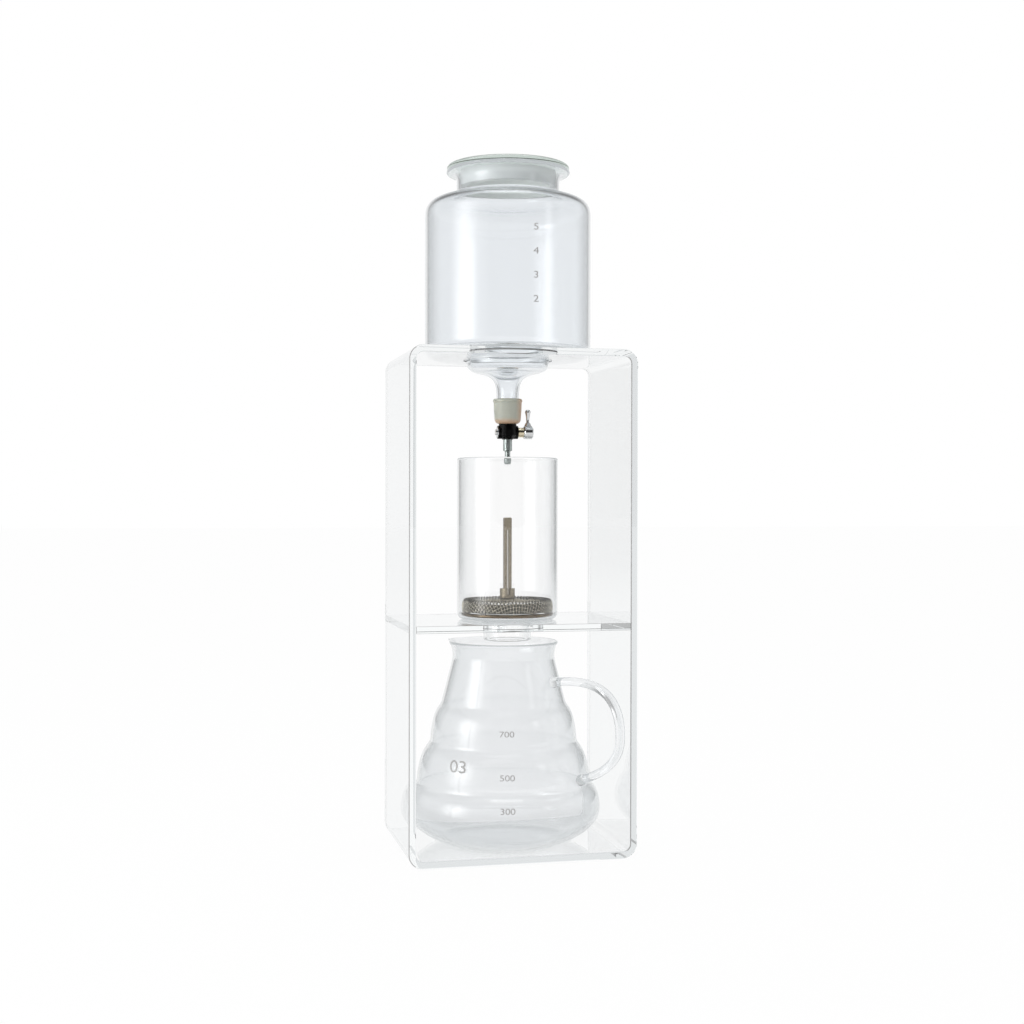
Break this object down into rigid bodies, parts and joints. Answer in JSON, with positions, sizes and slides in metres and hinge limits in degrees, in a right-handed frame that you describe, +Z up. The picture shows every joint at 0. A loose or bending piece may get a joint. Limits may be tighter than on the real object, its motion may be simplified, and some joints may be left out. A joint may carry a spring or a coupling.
{
  "type": "cold drip coffee tower",
  "caption": "Cold drip coffee tower: clear bent stand, glass water bowl with a lever drip valve, glass coffee chamber with a lift-out steel filter, and a stepped glass jug below.",
  "frame": {"origin": "centre of the stand's underside, on the table", "axes": "+Z up along the tower's axis, +X to the right seen from the open front, +Y to the back"},
  "size_m": [0.16, 0.138, 0.4852],
  "materials": {
    "clear_sheet": "clear polished sheet with pale blue-grey edges",
    "bowl_glass": "clear blown glass",
    "lid_glass": "clear glass with a green edge",
    "ground_glass": "ground, satin grey-green",
    "cream_silicone": "translucent cream silicone",
    "black_plastic": "black moulded",
    "bright_plate": "polished chrome",
    "warm_plate": "polished, slightly brassy",
    "seal_rubber": "matt black",
    "chamber_glass": "clear blown glass",
    "rim_steel": "rolled, warm bright stainless",
    "mesh_steel": "woven stainless mesh",
    "stem_steel": "satin warm stainless",
    "jug_glass": "clear blown glass"
  },
  "bodies": {
    "stand": {"stand_loop": "clear_sheet", "stand_shelf": "clear_sheet"},
    "bowl": {"water_bowl": "bowl_glass", "bung": "cream_silicone", "valve_body": "black_plastic", "drip_nozzle": "bright_plate"},
    "lid": {"lid_disc": "lid_glass", "lid_ground_collar": "ground_glass"},
    "lever": {"valve_spindle": "warm_plate", "spindle_seals": "seal_rubber", "end_washer": "bright_plate", "end_screw": "bright_plate", "lever_hub": "bright_plate", "valve_lever": "bright_plate"},
    "chamber": {"coffee_chamber": "chamber_glass"},
    "filter": {"filter_rim": "rim_steel", "filter_mesh": "mesh_steel", "filter_washer": "stem_steel", "filter_clip": "stem_steel", "filter_stem": "stem_steel"},
    "jug": {"jug_body": "jug_glass", "jug_handle": "jug_glass"}
  },
  "joints": [
    {"name": "bowl_lift", "type": "slide", "parent": "stand", "child": "bowl", "axis": [0, 0, 1], "range_m": [0, 0.085]},
    {"name": "lid_lift", "type": "slide", "parent": "bowl", "child": "lid", "axis": [0, 0, 1], "range_m": [0, 0.02]},
    {"name": "lever_turn", "type": "hinge", "parent": "bowl", "child": "lever", "pos_m": [0, 0, 0.29606], "axis": [1, 0, 0], "range_deg": [0, 90]},
    {"name": "chamber_lift", "type": "slide", "parent": "stand", "child": "chamber", "axis": [0, 0, 1], "range_m": [0, 0.017]},
    {"name": "filter_lift", "type": "slide", "parent": "chamber", "child": "filter", "axis": [0, 0, 1], "range_m": [0, 0.018]},
    {"name": "jug_slide", "type": "slide", "parent": "stand", "child": "jug", "axis": [0, -1, 0], "range_m": [0, 0.13]}
  ]
}
